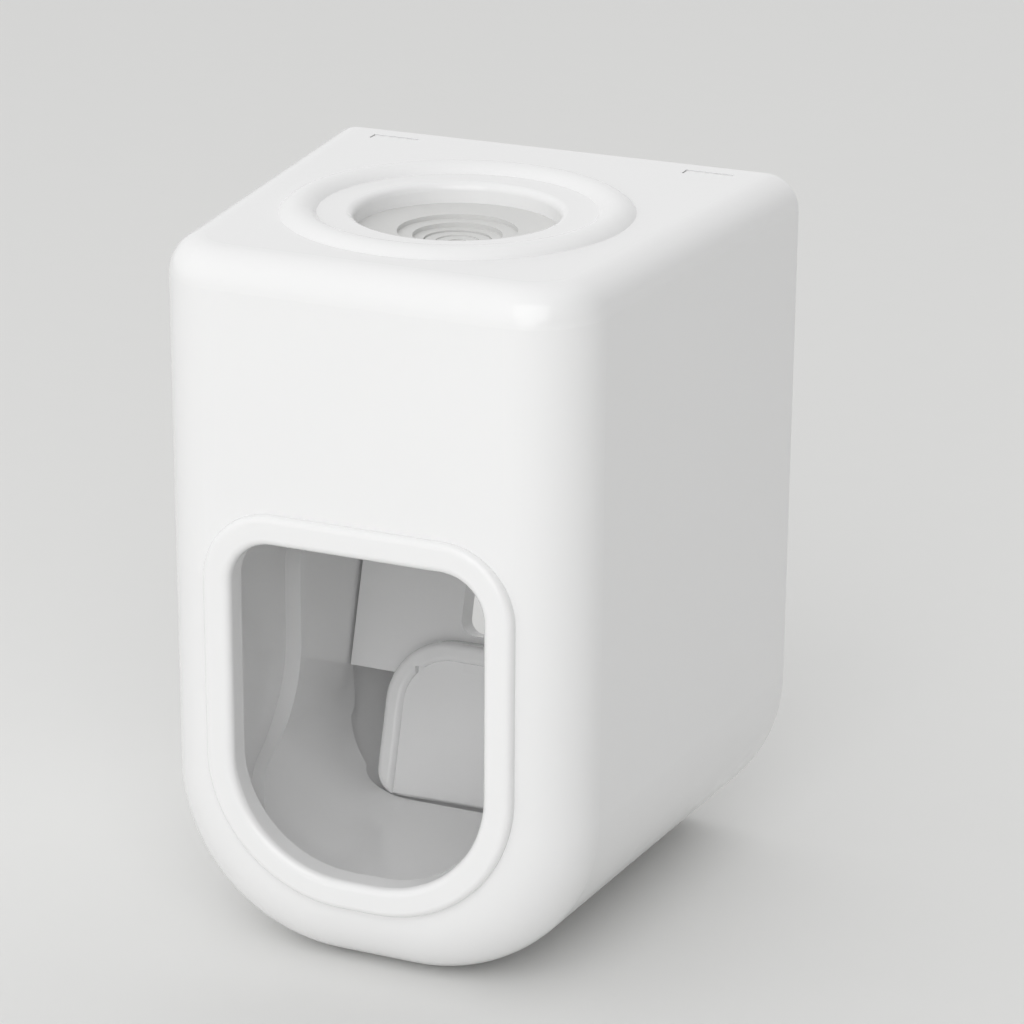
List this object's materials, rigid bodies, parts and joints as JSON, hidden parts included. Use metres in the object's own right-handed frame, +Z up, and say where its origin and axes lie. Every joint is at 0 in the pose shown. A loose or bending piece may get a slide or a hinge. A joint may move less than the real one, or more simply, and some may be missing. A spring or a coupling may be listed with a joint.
{
  "type": "toothpaste dispenser",
  "caption": "Wall-hung toothpaste dispenser: glossy white housing with a rimmed brush window, a tube mouth in a bead ring on top, and a tilted push lever that squeezes a pump sleeve.",
  "frame": {"origin": "middle of the pad's wall face", "axes": "+X to the right seen from the front, +Y into the wall, +Z up; the front faces -Y"},
  "size_m": [0.0594, 0.0599, 0.083],
  "materials": {
    "shell_plastic": "glossy white ABS",
    "inner_plastic": "glossy white ABS, slightly duller inside",
    "bracket_plastic": "satin white ABS",
    "silicone": "translucent grey silicone",
    "steel": "plain bright steel",
    "foam_tape": "white acrylic foam tape"
  },
  "bodies": {
    "wall_side": {"wall_bracket": "bracket_plastic", "adhesive_pad": "foam_tape"},
    "dispenser": {"housing": "shell_plastic", "back_plate": "shell_plastic", "brush_chute": "inner_plastic", "tube_seal": "silicone", "inlet_collar": "bracket_plastic", "inlet_valve": "silicone", "squeeze_sleeve": "silicone", "sleeve_rings": "bracket_plastic", "nozzle": "bracket_plastic", "outlet_valve": "silicone", "outlet_cap": "bracket_plastic", "pump_bracket": "bracket_plastic", "pivot_pin": "steel", "return_spring": "steel", "plate_screws": "steel", "bracket_screws": "steel", "collar_screws": "steel"},
    "lever": {"push_lever": "inner_plastic"}
  },
  "joints": [
    {"name": "lift_off", "type": "slide", "parent": "wall_side", "child": "dispenser", "axis": [0, 0, 1], "range_m": [0, 0.034]},
    {"name": "lever_push", "type": "hinge", "parent": "dispenser", "child": "lever", "pos_m": [0, -0.0175, -0.009], "axis": [1, 0, 0], "range_deg": [0, 16], "stiffness_Nm_per_rad": 0.25, "springref_deg": -17.19, "deforming": ["squeeze_sleeve", "return_spring"]}
  ]
}
